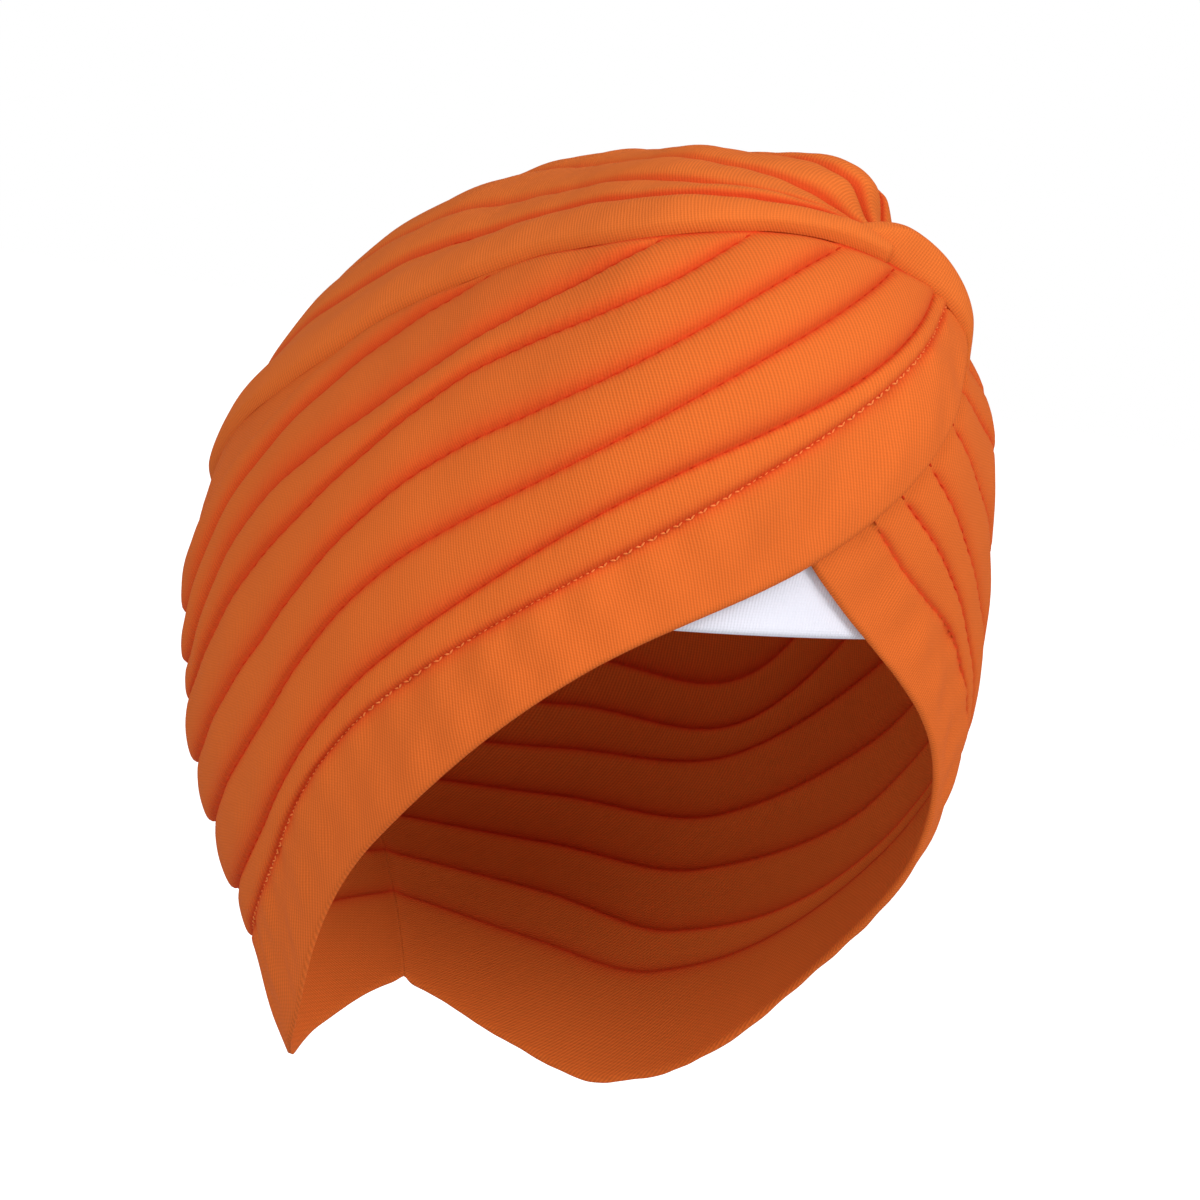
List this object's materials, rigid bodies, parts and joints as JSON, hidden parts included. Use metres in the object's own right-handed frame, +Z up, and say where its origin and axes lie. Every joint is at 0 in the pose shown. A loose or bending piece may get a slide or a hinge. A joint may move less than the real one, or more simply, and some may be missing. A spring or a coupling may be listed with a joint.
{
  "type": "pleated jersey turban cap",
  "caption": "Stretch-jersey head wrap in its worn shape: pleated side panels crossing at the brow, a gathered crown, a band over the knot and a white cloth in the notch.",
  "frame": {"origin": "middle of the head that wears it, at the level of the brow", "axes": "+Z up along the worn head, the brow toward -Y, the wearer's right toward -X"},
  "size_m": [0.1701, 0.2061, 0.2206],
  "materials": {
    "orange_jersey": "matt fine-ribbed cotton jersey, dyed orange",
    "white_jersey": "matt smooth white jersey"
  },
  "bodies": {
    "root": {"wrap_right": "orange_jersey", "wrap_left": "orange_jersey", "crown_panel": "orange_jersey", "knot_band": "orange_jersey", "forehead_insert": "white_jersey"}
  },
  "joints": []
}
